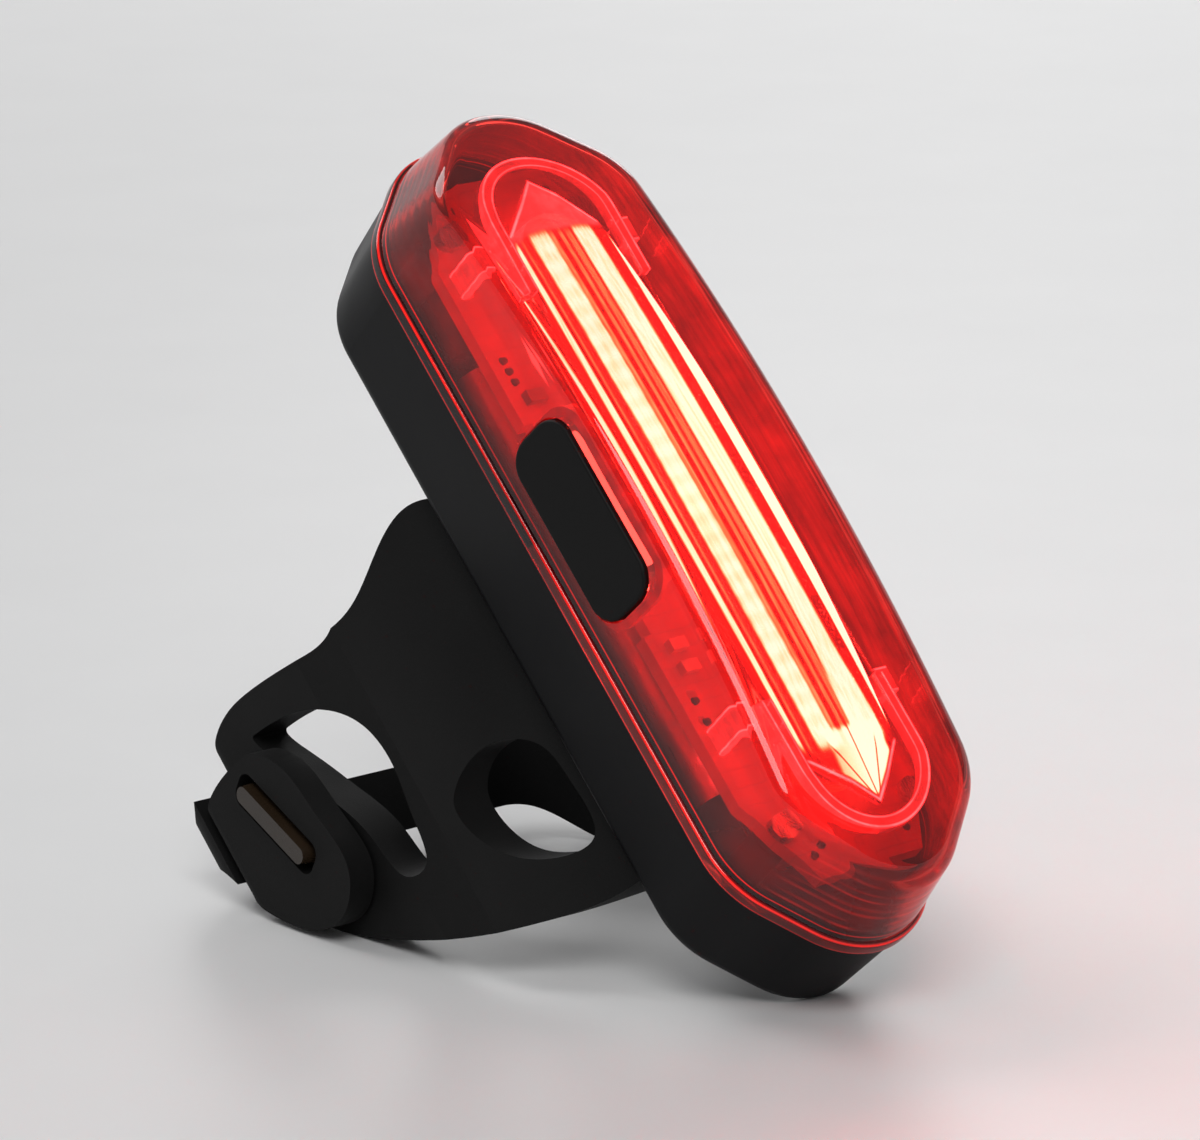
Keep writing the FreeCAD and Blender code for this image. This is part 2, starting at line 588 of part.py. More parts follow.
def chargeSocket():
    mouthY = "-(caseDepth - flapThick - 0.1)"
    shellBody = newBody("chargeShell")
    outer = softRectangle(0, d.socketZ, d.socketWidth, d.socketHeight, 0.9)
    inner = softRectangle(0, d.socketZ, d.socketWidth - 2 * d.socketWall,
                          d.socketHeight - 2 * d.socketWall, 0.6)
    pad(shellBody, sketchOn(shellBody, "XZ_Plane", outer, mouthY), "socketDepth")
    pocket(shellBody, sketchOn(shellBody, "XZ_Plane", inner, mouthY), "socketDepth - 0.6", back=True)
    keep(shellBody, "charge_socket")
    tongue = newBody("chargeTongue")
    bar = rectangle(0, d.socketZ, d.socketWidth - 2 * d.socketWall - 2.0, d.tongueThick)
    start = "-(caseDepth - flapThick - 1.1)"
    pad(tongue, sketchOn(tongue, "XZ_Plane", bar, start), "socketDepth - 1.6")
    keep(tongue, "socket_tongue")
    carrier = newBody("socketBoard")
    bottom = "-(caseDepth - flapThick - 0.1 - socketDepth)"
    plate = rectangle(0, d.socketZ, d.socketWidth + 3.2, d.socketHeight + 2.4)
    pad(carrier, sketchOn(carrier, "XZ_Plane", plate, bottom), "0.8")
    stalk = rectangle(0, d.socketZ, 3.0, 1.2)
    pad(carrier, sketchOn(carrier, "XZ_Plane", stalk, bottom),
        "boardBack + caseDepth - flapThick - 0.1 - socketDepth")
    keep(carrier, "socket_board")
    flap = newBody("chargeFlap")
    half = (d.flapThick - d.flapSlack) / 2
    lid = softRectangle(0, d.socketZ - half / 2, d.flapWidth, d.flapHeight - half, 1.6)
    pad(flap, sketchOn(flap, "XZ_Plane", lid, "-caseDepth"), "flapThick - flapSlack")
    nose = circle(*flapHinge(), half)
    sketch = sketchOn(flap, "YZ_Plane", nose)
    pad(flap, sketch, "flapWidth - 3.4", both=True)
    grip = softRectangle(0, d.socketZ - d.flapHeight / 2 + 0.9, 5.0, 1.0, 0.4)
    pad(flap, sketchOn(flap, "XZ_Plane", grip, "-caseDepth - 0.5"), "0.6")
    plug = softRectangle(0, d.socketZ, d.socketWidth - 2 * d.socketWall - 0.5,
                         d.socketHeight - 2 * d.socketWall - 0.4, 0.5)
    pad(flap, sketchOn(flap, "XZ_Plane", plug, "-caseDepth"), "flapThick + 0.4")
    keep(flap, "charge_flap")


# ---- rubber saddle with its arms and the band behind the seatpost
postY = d.caseDepth + d.saddleFloor + d.seatpostRadius
loopBack = d.caseDepth + d.loopDepth
sideOut = d.seatpostRadius + d.armOut
nearOut = sideOut + d.armGap + d.bandThick


def loopPlan():
    """Plan of the saddle and its band, as (x, y): a loop round the seatpost. The near arm
    ends free, and the band passes round it on the outside."""
    r, near, t = d.cornerRadius, d.bandCorner, d.bandThick
    x, armIn = sideOut, d.seatpostRadius
    flareY = postY - 6.5
    root = [(d.saddleRoot, d.caseDepth), (d.saddleRoot + 2.1, d.caseDepth + 4.6), (x - 0.6, flareY)]
    centre = (-nearOut + near, loopBack - near)
    tip = (x - armIn) / 2
    turn = math.radians(26)
    meet = (x - r + (r - t) * math.cos(turn), loopBack - r + (r - t) * math.sin(turn))
    return [
        throughPoints(root), line(*root[-1], x, flareY + 5), line(x, flareY + 5, x, loopBack - r),
        arc(x - r, loopBack - r, r, 0, 90), line(x - r, loopBack, centre[0], loopBack),
        arc(*centre, near, 90, 180), line(-nearOut, centre[1], t - nearOut, centre[1]),
        arc(*centre, near - t, 90, 180), line(centre[0], loopBack - t, x - r, loopBack - t),
        arc(x - r, loopBack - r, r - t, 26, 90), line(*meet, armIn, postY + 8),
        line(armIn, postY + 8, armIn, postY), arc(0, postY, armIn, 180, 360),
        line(-armIn, postY, -armIn, d.armEnd - tip), arc(-armIn - tip, d.armEnd - tip, tip, 0, 180),
        line(-x, d.armEnd - tip, -x, flareY + 5), line(-x, flareY + 5, -root[-1][0], flareY),
        throughPoints([(-a, b) for a, b in root]),
        line(-d.saddleRoot, d.caseDepth, d.saddleRoot, d.caseDepth)]


def armProfile():
    """Side view of the saddle, arms and band, as (y, z): upper and lower rim."""
    top = [(d.caseDepth - 0.01, 12.5), (13.5, 13.3), (16.2, 10.9), (19.0, 8.3), (24.0, 8.6),
           (31.0, 10.2), (36.0, 10.4), (38.6, 9.2), (40.4, 6.2), (loopBack + 1, 5.6)]
    low = [(d.caseDepth - 0.01, -22.8), (14.0, -22.2), (20.0, -19.8), (28.8, -14.8),
           (35.4, -9.8), (38.4, -6.2), (40.2, -2.2), (41.6, 0.2), (loopBack + 1, 1.0)]
    return [throughPoints(top), line(*top[-1], *low[-1]), throughPoints(low),
            line(*low[0], *top[0])]


rearWindow = [(33.0, 7.3), (28.0, 6.0), (23.6, 3.6), (20.8, 0.0), (20.2, -4.0), (21.0, -8.4),
              (22.4, -12.0), (24.4, -11.6), (26.2, -6.8), (29.0, -0.8), (31.8, 4.0)]
frontWindow = [(18.0, -9.5), (17.6, -13.2), (15.0, -17.0), (11.6, -17.8), (10.9, -13.0),
               (12.0, -8.4), (15.6, -6.6)]


def saddle():
    loop = newBody("saddleLoop")
    pad(loop, sketchOn(loop, "XY_Plane", loopPlan(), "plateZ"), "lampLength", both=True)
    sides = newBody("saddleSides")
    pad(sides, sketchOn(sides, "YZ_Plane", armProfile()), "3 * lampWidth", both=True)
    shape = combine("Common", "saddleRims", loop, [sides])
    for side in (1, -1):
        start = "6.5" if side > 0 else "-6.5"
        for name, points in (("rearWindow", rearWindow), ("frontWindow", frontWindow)):
            cutter = newBody(name)
            sketch = sketchOn(cutter, "YZ_Plane", [throughPoints(points, True)], start)
            pad(cutter, sketch, "lampWidth", back=side < 0)
            shape = combine("Cut", "saddleOpen", shape, [cutter])
    plate = newBody("plateRoom")
    room = softRectangle(0, d.plateZ, d.plateWidth + 0.2, d.plateLength + 0.2, 2.1)
    pad(plate, sketchOn(plate, "XZ_Plane", room, "-caseDepth"), "plateThick", back=True)
    access = newBody("screwAccess")
    holes = [c for s in (1, -1)
             for c in circle(0, d.plateZ + s * d.mountScrewZ, d.screwHead + 0.4)]
    pad(access, sketchOn(access, "XZ_Plane", holes, "-caseDepth"), "saddleFloor + 3", back=True)
    keep(combine("Cut", "saddle", shape, [plate, access]), "saddle_strap")


def mountPlate():
    body = newBody("mountPlate")
    outline = softRectangle(0, d.plateZ, d.plateWidth, d.plateLength, 2.0)
    pad(body, sketchOn(body, "XZ_Plane", outline, "-caseDepth"), "plateThick", back=True)
    holes = [c for s in (1, -1)
             for c in circle(0, d.plateZ + s * d.mountScrewZ, d.screwShank + 0.1)]
    pocket(body, sketchOn(body, "XZ_Plane", holes, "-caseDepth"), "plateThick")
    keep(body, "mount_plate")
    screws = newBody("mountScrews")
    spots = [(0, d.plateZ + s * d.mountScrewZ) for s in (1, -1)]
    shanks = [c for x, z in spots for c in circle(x, z, d.screwShank - 0.05)]
    top = "-(caseDepth + plateThick)"
    pad(screws, sketchOn(screws, "XZ_Plane", shanks, top), "plateThick + caseFloor + padThick - 0.5")
    heads = [c for x, z in spots for c in circle(x, z, d.screwHead)]
    pad(screws, sketchOn(screws, "XZ_Plane", heads, top), "1.1", back=True)
    keep(screws, "mount_screws")


# ---- pull tab at the end of the band, and the peg that it hooks on
tabOutline = [(31.8, 5.2), (36.5, 5.5), (39.8, 4.4), (41.0, 1.0), (40.0, -3.2), (37.8, -6.6),
              (34.4, -9.8), (30.2, -10.8), (27.2, -8.6), (27.4, -3.5), (29.0, 2.8)]


def pegOutline(grow):
    """The peg's long rounded section on the side of the near arm, as (y, z)."""
    curves = softRectangle(d.pegY, d.pegZ, d.pegWidth + 2 * grow, d.pegLength + 2 * grow,
                           d.pegWidth / 2 - 0.05)
    turned = Placement(Vector(), Rotation(Vector(0, 0, 1), -d.pegTurn), Vector(d.pegY, d.pegZ, 0))
    for curve in curves:
        curve.transform(turned.toMatrix())
    return curves


def strapTab():
    inner = nearOut - d.tabThick
    r = d.tabThick / 2
    hingeY = loopBack - d.bandCorner - d.tabGap - r
    front = d.pegY - 8
    block = newBody("tabBlock")
    plan = [line(-inner, hingeY, -inner, front), line(-inner, front, -nearOut, front),
            line(-nearOut, front, -nearOut, hingeY), arc(-inner - r, hingeY, r, 0, 180)]
    pad(block, sketchOn(block, "XY_Plane", plan, "plateZ"), "lampLength", both=True)
    side = newBody("tabSide")
    sketch = sketchOn(side, "YZ_Plane", [throughPoints(tabOutline, True)], "-seatpostRadius")
    pad(side, sketch, "lampWidth", back=True)
    slot = newBody("tabSlot")
    sketch = sketchOn(slot, "YZ_Plane", pegOutline(d.pegSlack), "-seatpostRadius")
    pad(slot, sketch, "lampWidth", back=True)
    outline = combine("Common", "tabBoth", block, [side])
    keep(combine("Cut", "strapTab", outline, [slot]), "strap_tab")


def hookPeg():
    body = newBody("hookPeg")
    sketch = sketchOn(body, "YZ_Plane", pegOutline(0), "-(seatpostRadius + armOut)")
    pad(body, sketch, "armGap + tabThick + pegProud", back=True, draft="-pegDraft")
    keep(body, "hook_peg")


rearCase()
lensSeal()
frontLens()
button()
sideSwitch()
lampBoard()
lightStrip()
boardParts()
boardScrews()
lightGuide()
battery()
chargeSocket()
saddle()
mountPlate()
strapTab()
hookPeg()
doc.recompute()

for thing in doc.Objects:
    if "Invalid" in thing.State or "Error" in thing.State:
        raise SystemExit(f"{thing.Name} failed: {thing.State}")
for piece in wholePieces:
    if piece.Shape.isNull() or not piece.Shape.isValid():
        raise SystemExit(f"{piece.Label} has no valid shape")

# The lamp leans back until its case and its saddle both touch the table. It is turned
# about X and lifted, with the origin under the middle of its box.
def lowest(points, angle):
    c, k = math.cos(angle), math.sin(angle)
    return min(p.z * c - p.y * k for p in points)


feet = {piece.Label: piece.Shape.tessellate(0.02)[0] for piece in wholePieces
        if piece.Label in ("rear_case", "saddle_strap")}
upright, flat = math.radians(20), math.radians(75)
while flat - upright > 1e-6:
    angle = (upright + flat) / 2
    if lowest(feet["saddle_strap"], angle) > lowest(feet["rear_case"], angle):
        upright = angle
    else:
        flat = angle
lean = Placement(Vector(), Rotation(Vector(1, 0, 0), -math.degrees(angle)))
box = FreeCAD.BoundBox()
for piece in wholePieces:
    leaned = piece.Shape.copy()
    leaned.Placement = lean.multiply(leaned.Placement)
    box.add(leaned.optimalBoundingBox(True, False))
stand = Placement(Vector(-(box.XMin + box.XMax) / 2, -(box.YMin + box.YMax) / 2, -box.ZMin),
                  lean.Rotation)
print("lean", round(math.degrees(angle), 3), "stand", [round(v, 4) for v in stand.Base],
      "box", [round(v, 2) for v in (box.XLength, box.YLength, box.ZLength)])
os.makedirs("parts", exist_ok=True)
for piece in wholePieces:
    piece.Placement = stand.multiply(piece.Placement)
doc.recompute()
for piece in wholePieces:
    piece.Shape.exportStep(f"parts/{piece.Label}.step")
    size = piece.Shape.BoundBox
    print(piece.Label, len(piece.Shape.Solids), "solids", round(piece.Shape.Volume, 1), "mm3",
          [round(v, 1) for v in (size.XLength, size.YLength, size.ZLength)])
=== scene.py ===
import json
import math

import bmesh
import bpy
from mathutils import Euler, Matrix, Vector

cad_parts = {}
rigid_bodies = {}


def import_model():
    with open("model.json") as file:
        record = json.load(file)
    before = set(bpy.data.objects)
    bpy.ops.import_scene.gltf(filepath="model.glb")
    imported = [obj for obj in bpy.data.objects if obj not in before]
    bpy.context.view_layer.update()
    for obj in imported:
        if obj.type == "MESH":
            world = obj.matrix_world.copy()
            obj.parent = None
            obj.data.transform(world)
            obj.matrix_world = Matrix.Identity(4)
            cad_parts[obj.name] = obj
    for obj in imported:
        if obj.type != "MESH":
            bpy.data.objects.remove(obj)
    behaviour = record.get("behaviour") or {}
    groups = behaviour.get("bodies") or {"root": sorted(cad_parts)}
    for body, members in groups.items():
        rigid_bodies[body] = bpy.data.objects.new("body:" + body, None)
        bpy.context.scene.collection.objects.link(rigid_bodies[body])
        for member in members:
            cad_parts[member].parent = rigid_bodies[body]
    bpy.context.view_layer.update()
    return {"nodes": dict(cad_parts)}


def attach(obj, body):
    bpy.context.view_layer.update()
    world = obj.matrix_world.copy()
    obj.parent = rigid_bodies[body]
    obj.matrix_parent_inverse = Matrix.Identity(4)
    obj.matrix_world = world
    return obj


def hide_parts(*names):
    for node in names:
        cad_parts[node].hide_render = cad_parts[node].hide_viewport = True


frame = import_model()
nodes = frame["nodes"]
scene = bpy.context.scene
print("frame: nodes loaded", len(nodes))

# The lamp's own axes, in mm: x across, -y out through the lens, z along it.
# The whole lamp leans back and stands on the table.
standing = {"lean": math.radians(-44.743), "lift": (1.7, -1.7715, 31.8869)}


def place(x, y, z):
    turned = Euler((standing["lean"], 0, 0)).to_matrix() @ Vector((x, y, z))
    return (turned + Vector(standing["lift"])) / 1000


# ---- shader maths
class Amount:
    # a value of a shader, used like a number
    def __init__(self, finish, socket):
        self.finish, self.socket = finish, socket

    def join(self, operation, first, second):
        return self.finish.node("ShaderNodeMath", {"operation": operation}, {0: first, 1: second})

    def __add__(self, other): return self.join("ADD", self, other)
    def __radd__(self, other): return self.join("ADD", other, self)
    def __sub__(self, other): return self.join("SUBTRACT", self, other)
    def __rsub__(self, other): return self.join("SUBTRACT", other, self)
    def __mul__(self, other): return self.join("MULTIPLY", self, other)
    def __rmul__(self, other): return self.join("MULTIPLY", other, self)
    def __truediv__(self, other): return self.join("DIVIDE", self, other)
    def __rtruediv__(self, other): return self.join("DIVIDE", other, self)
    def __abs__(self): return self.join("ABSOLUTE", self, 0.0)


class Finish:
    def __init__(self, name):
        self.material = bpy.data.materials.new(name)
        self.material.use_nodes = True
        self.tree = self.material.node_tree
        self.tree.nodes.clear()

    def node(self, kind, settings=None, sockets=None, out=0):
        made = self.tree.nodes.new(kind)
        for key, value in (settings or {}).items():
            if key == "stops":
                ramp = made.color_ramp
                while len(ramp.elements) < len(value):
                    ramp.elements.new(0.5)
                for stop, (position, colour) in zip(ramp.elements, value):
                    stop.position, stop.color = position, (*colour, 1)
            else:
                setattr(made, key, value)
        for key, value in (sockets or {}).items():
            if isinstance(value, Amount):
                self.tree.links.new(value.socket, made.inputs[key])
            else:
                made.inputs[key].default_value = value
        return Amount(self, made.outputs[out])

    def lampPlace(self):
        # surface point in the lamp's own axes, in mm
        spot = self.node("ShaderNodeTexCoord", out="Object")
        return self.node("ShaderNodeMapping", {"vector_type": "TEXTURE"}, {
            "Vector": spot, "Location": [v / 1000 for v in standing["lift"]],
            "Rotation": (standing["lean"], 0, 0), "Scale": (0.001, 0.001, 0.001)})

    def parts(self, vector):
        split = self.node("ShaderNodeSeparateXYZ", sockets={0: vector})
        return [Amount(self, o) for o in split.socket.node.outputs]

    def noise(self, vector, size, detail=3.0, rough=0.5):
        return self.node("ShaderNodeTexNoise", None, {
            "Vector": vector, "Scale": 1 / size, "Detail": detail, "Roughness": rough})

    def clamp(self, value, low, high, toLow=0.0, toHigh=1.0, soft=True):
        return self.node("ShaderNodeMapRange", {"interpolation_type": "SMOOTHSTEP" if soft else "LINEAR"}, {
            0: value, 1: low, 2: high, 3: toLow, 4: toHigh})

    def band(self, value, centre, half, soft):
        away = abs(value - centre)
        return self.clamp(away, half + soft, half - soft)

    def bands(self, value, rows):
        # sum of bands, each given by its centre, half width, soft edge and strength
        total = 0.0
        for centre, half, soft, strength in rows:
            total = self.band(value, centre, half, soft) * strength + total
        return total

    def drawn(self, vector, stretch):
        # noise stretched into streaks along the lamp
        mapped = self.node("ShaderNodeMapping", None, {"Vector": vector, "Scale": stretch})
        return self.node("ShaderNodeTexNoise", None, {"Vector": mapped, "Scale": 1.0, "Detail": 3.0})

    def mix(self, factor, first, second):
        return self.node("ShaderNodeMix", {"data_type": "RGBA"}, {
            0: factor, 6: first, 7: second}, out=2)

    def bump(self, height, strength, distance):
        return self.node("ShaderNodeBump", None, {
            "Strength": strength, "Distance": distance, "Height": height})

    def surface(self, **sockets):
        names = {key.replace("_", " "): value for key, value in sockets.items()}
        return self.node("ShaderNodeBsdfPrincipled", None, names)

    def shineThrough(self, shader, tint):
        # lets the lamps' light pass with a plain tint, so that what lies inside is lit
        clear = self.node("ShaderNodeBsdfTransparent", None, {"Color": rgb(*tint)})
        lampRay = self.node("ShaderNodeLightPath", out="Is Shadow Ray")
        return self.node("ShaderNodeMixShader", None, {0: lampRay, 1: shader, 2: clear})

    def wear(self, shader):
        output = self.tree.nodes.new("ShaderNodeOutputMaterial")
        self.tree.links.new(shader.socket, output.inputs["Surface"])
        return self.material


def rgb(r, g, b):
    return (r, g, b, 1.0)


# ---- finishes
def mouldedBlack(name, base, rough, grain, depth, gleam):
    f = Finish(name)
    p = f.lampPlace()
    fine = f.noise(p, grain, 4.0, 0.6)
    cloud = f.noise(p, 9.0, 2.0)
    tone = f.mix(f.clamp(cloud, 0.3, 0.7), rgb(*base), rgb(*[c * 1.5 for c in base]))
    return f.wear(f.surface(Base_Color=tone, Specular_IOR_Level=gleam,
                            Roughness=f.clamp(cloud, 0.3, 0.75, rough - 0.06, rough + 0.06),
                            Normal=f.bump(fine, 0.35, depth)))


lensLook = {"thin": (0.5, 0.024, 0.018), "thick": (0.58, 0.03, 0.022), "lipPaintedShade": (0.07, 0.003, 0.002),
            "lipTop": 0.95, "lipLines": [(0.98, 0.06, 0.05, 1.0), (0.06, 0.05, 0.04, 0.3)],
            "grooves": [(2.4, 0.1, 0.12, 1.0), (4.0, 0.12, 0.12, 0.7), (5.6, 0.08, 0.1, 1.0),
                        (7.2, 0.12, 0.12, 0.6)],
            "grooveGlow": 0.22, "farSide": 0.12, "nearSide": 0.05, "farLine": 8.2, "farLineGlow": 0.22,
            "rib": 0.55, "ior": 1.49, "glow": 1.3, "tint": (0.85, 0.03, 0.02)}


def redLens():
    # clear red plastic that lets lamps shine in; its lip and cut edges carry painted glow, and the lip's band is
    # darkened with painted shade
    look = lensLook
    f = Finish("clearRed")
    p = f.lampPlace()
    x, y, z = f.parts(p)
    height, end = -1 * y, abs(z)
    ribs = f.node("ShaderNodeMath", {"operation": "PINGPONG"}, {0: height, 1: look["rib"]})
    wall = f.clamp(height, 8.6, 8.0) * f.clamp(height, 1.6, 2.0)
    tone = f.mix(f.clamp(f.noise(p, 18.0, 2.0), 0.35, 0.65), rgb(*look["thin"]), rgb(*look["thick"]))
    # painted shade: the lip's band is darkened where it sits on the black case
    lip = f.clamp(height, look["lipTop"], look["lipTop"] - 0.1) * f.clamp(height, 0.0, 0.05)
    tone = f.mix(lip, tone, rgb(*look["lipPaintedShade"]))
    # painted glow as emission: lines along the lip and at the groove heights of the wall
    lipLine = f.bands(height, look["lipLines"]) * f.clamp(f.noise(p, 14.0, 2.0), 0.3, 0.7, 0.35, 1.0)
    atEnds = f.clamp(end, 30.0, 33.0) * 0.8
    grooves = f.bands(height, look["grooves"]) * (f.clamp(x, 7.5, 9.0) + atEnds) * look["grooveGlow"]
    # painted glow: the far side is brightest beside the guide and has long faint painted lines
    farSide = f.clamp(x, 3.2, 4.4, 0.0, look["farSide"]) * f.clamp(x, 10.6, 7.6, 0.38, 1.0) \
        * f.clamp(f.drawn(p, (2.2, 2.2, 0.03)), 0.38, 0.6, 0.4, 1.35) * f.clamp(end, 33.0, 26.0, 0.35, 1.0) \
        + f.band(x, look["farLine"], 0.05, 0.07) * f.clamp(end, 27.0, 20.0) * look["farLineGlow"]
    nearSide = f.clamp(x, -8.0, -10.2, 0.0, look["nearSide"]) * f.clamp(z, -24.0, 12.0, 0.4, 1.0)
    inWall = (f.clamp(end, 24.0, 33.0, 0.012, 0.03) + farSide + nearSide) \
        * f.clamp(f.noise(p, 4.0, 3.0), 0.35, 0.65, 0.45, 1.2) * f.clamp(height, 0.9, 3.0)
    scatter = grooves * f.clamp(f.noise(p, 6.0, 2.0), 0.38, 0.6) + inWall
    body = f.surface(Base_Color=tone, Roughness=f.clamp(f.noise(p, 3.0), 0.3, 0.8, 0.012, 0.04),
                     IOR=look["ior"], Transmission_Weight=1.0,
                     Normal=f.bump(f.noise(p, 7.0, 1.0) * 0.6 + ribs * wall, 0.25, 0.00005),
                     Emission_Color=f.mix(lipLine + scatter, rgb(0, 0, 0), rgb(1.0, 0.012, 0.008)),
                     Emission_Strength=look["glow"])
    return f.wear(f.shineThrough(body, look["tint"]))


guideLook = {"half": 4.5, "shoulder": 24.6, "tip": 29.2, "face": 8.6, "lean": 0.6, "barSide": 5.28,
             "bands": [(-4.8, 0.22, 0.1, 0.9), (-4.1, 0.14, 0.1, 0.32), (-1.1, 0.18, 0.12, 0.45),
                       (-0.25, 0.2, 0.1, 0.42), (0.5, 0.3, 0.12, 0.36), (4.85, 0.55, 0.14, 1.6)],
             "beaded": (-2.35, 0.95, 0.25), "beadStep": 0.9, "broad": 2.0, "speckled": (3.7, 0.8, 0.2),
             "ringStraight": 25.1, "rimOut": 6.08, "rimIn": 5.32, "arms": (23.4, -19.3), "armHalf": 1.0,
             "clear": (0.98, 0.88, 0.88), "sidePaintedShade": (0.4, 0.15, 0.15), "pink": (1.0, 0.42, 0.6),
             "warm": [(0.0, (0.5, 0.0, 0.0)), (0.15, (0.95, 0.06, 0.03)), (0.4, (1.0, 0.3, 0.13)),
                      (0.75, (1.0, 0.8, 0.6)), (1.0, (1.0, 0.97, 0.95))],
             "tint": (0.95, 0.9, 0.9), "ior": 1.49, "glow": 72.0}


def guideGlow():
    # clear bar with painted glow: bright lines painted along its facets as if lit from below, faint painted beads
    # on the left one
    look = guideLook
    f = Finish("guideGlow")
    p = f.lampPlace()
    x, y, z = f.parts(p)
    height, side, end = -1 * y, abs(x), abs(z)
    across = x + look["lean"] * (height - look["face"])
    seen = 1 - f.node("ShaderNodeNewGeometry", out="Backfacing") * 0.94
    streak = f.drawn(p, (5.0, 5.0, 0.08))
    speck = f.clamp(f.noise(p, 0.22, 2.0), 0.62, 0.72)
    bead = f.node("ShaderNodeMath", {"operation": "PINGPONG"}, {0: z, 1: look["beadStep"]})
    beads = f.clamp(bead, 0.1, 0.8, 0.9, 1.05)
    broadHalf = f.clamp(z, -23.0, -15.0, 1.35, 0.95)
    lines = f.bands(across, look["bands"]) + f.band(across, *look["beaded"]) * beads \
        + f.clamp(abs(across - look["broad"]) - broadHalf, 0.25, -0.2) \
        + f.band(across, *look["speckled"]) * (speck * 0.3 + 0.022)
    bright = lines * f.clamp(streak, 0.32, 0.6, 0.75, 1.0) * f.clamp(end, look["shoulder"], 23.2)
    # lower point: painted glow of a lit crystal with dark ridges; both points have thin painted bright edges
    rise = look["tip"] - look["shoulder"]
    edge = (side * rise + (end - look["shoulder"]) * look["half"] - rise * look["half"]) \
        / math.hypot(rise, look["half"])
    edgeLine = f.band(edge, -0.2, 0.1, 0.08) * f.clamp(end, 24.2, look["shoulder"])
    ridge = f.band(x, 0.0, 0.06, 0.08) + f.band(side - (look["tip"] - end) * 0.42, 0.0, 0.07, 0.09)
    paintedTipGlow = f.clamp(edge, -0.3, -0.6) * f.clamp(z, -22.4, -23.2) * f.clamp(abs(x - 0.5), 3.0, 2.5) \
        * (1 - f.clamp(ridge, 0.0, 1.0, 0.0, 0.8)) * f.clamp(x, -2.6, 0.6, 0.55, 1.0)
    inBar = f.clamp(side + f.clamp(end, 17.5, 18.5) * 0.1, look["barSide"], look["barSide"] - 0.08)
    glow = f.clamp(height, 7.95, 8.15) * (bright + paintedTipGlow) * seen * inBar
    # rims: painted glow, a faint body between two bright outlines
    past = f.node("ShaderNodeMath", {"operation": "MAXIMUM"}, {0: end - look["ringStraight"], 1: 0.0})
    reach = f.node("ShaderNodeMath", {"operation": "SQRT"}, {0: x * x + past * past})
    outline = f.band(reach, look["rimOut"], 0.08, 0.07) + f.band(reach, look["rimIn"], 0.06, 0.07) * 0.8
    rim = f.clamp(height, 7.84, 7.9) * f.clamp(reach, 5.1, 5.25) * f.clamp(end, 18.5, 19.5) \
        * (outline * 1.35 + 0.13)
    # painted highlights along the snap arms' edges
    armEdge = sum(f.band(abs(z - at), look["armHalf"], 0.08, 0.08) for at in look["arms"])
    arm = f.clamp(side, 6.25, 6.6) * (0.12 + f.clamp(armEdge, 0.0, 1.0, 0.0, 1.4))
    mottle = f.clamp(f.noise(p, 1.8, 4.0, 0.65), 0.4, 0.62, 0.6, 1.0)
    facet = f.clamp(edge, -0.1, -0.4) * f.clamp(z, 23.8, 24.4) * f.clamp(x, -4.0, 3.0, 0.22, 0.5)
    # painted pink highlights on the rims, arms, upper facets and edges
    paintedPinkHighlights = (rim * 0.9 + arm * 0.6 + facet + edgeLine * 1.6) * mottle * seen * 0.2
    warm = f.node("ShaderNodeValToRGB", {"stops": look["warm"]}, {0: glow})
    lit = f.mix(f.clamp(glow, 0.0, 1.0, 0.003, 1.0, soft=False), rgb(0, 0, 0), warm)
    # painted shade: dark streaks in the guide's side walls
    sides = f.clamp(height, 8.1, 7.7) * f.clamp(side, 4.3, 5.0) * f.clamp(streak, 0.36, 0.58, 0.45, 1.0)
    body = f.surface(Base_Color=f.mix(sides, rgb(*look["clear"]), rgb(*look["sidePaintedShade"])), Roughness=0.04,
                     IOR=look["ior"], Transmission_Weight=1.0,
                     Emission_Color=f.mix(paintedPinkHighlights, lit, rgb(*look["pink"])), Emission_Strength=look["glow"])
    return f.wear(f.shineThrough(body, look["tint"]))


def litStrip():
    # strip under the guide, brighter at each chip
    f = Finish("litStrip")
    z = f.parts(f.lampPlace())[2]
    cell = f.node("ShaderNodeMath", {"operation": "PINGPONG"}, {0: z, 1: guideLook["beadStep"]})
    colour = f.mix(f.clamp(cell, 0.25, 0.75, 0.6, 1.0), rgb(1.0, 0.05, 0.02), rgb(1.0, 0.12, 0.06))
    return f.wear(f.surface(Base_Color=rgb(0.4, 0.06, 0.03), Roughness=0.4, Emission_Color=colour,
                            Emission_Strength=3.0))


boardLook = {"tone": (0.42, 0.022, 0.016), "trace": (0.3, 0.014, 0.01), "dim": (0.009, 0.0, 0.0),
             "lit": (0.175, 0.009, 0.005), "sliver": (1.0, 0.62, 0.8), "slivers": [(-4.4, 15.6), (-3.4, -8.8)],
             "glow": 4.0}


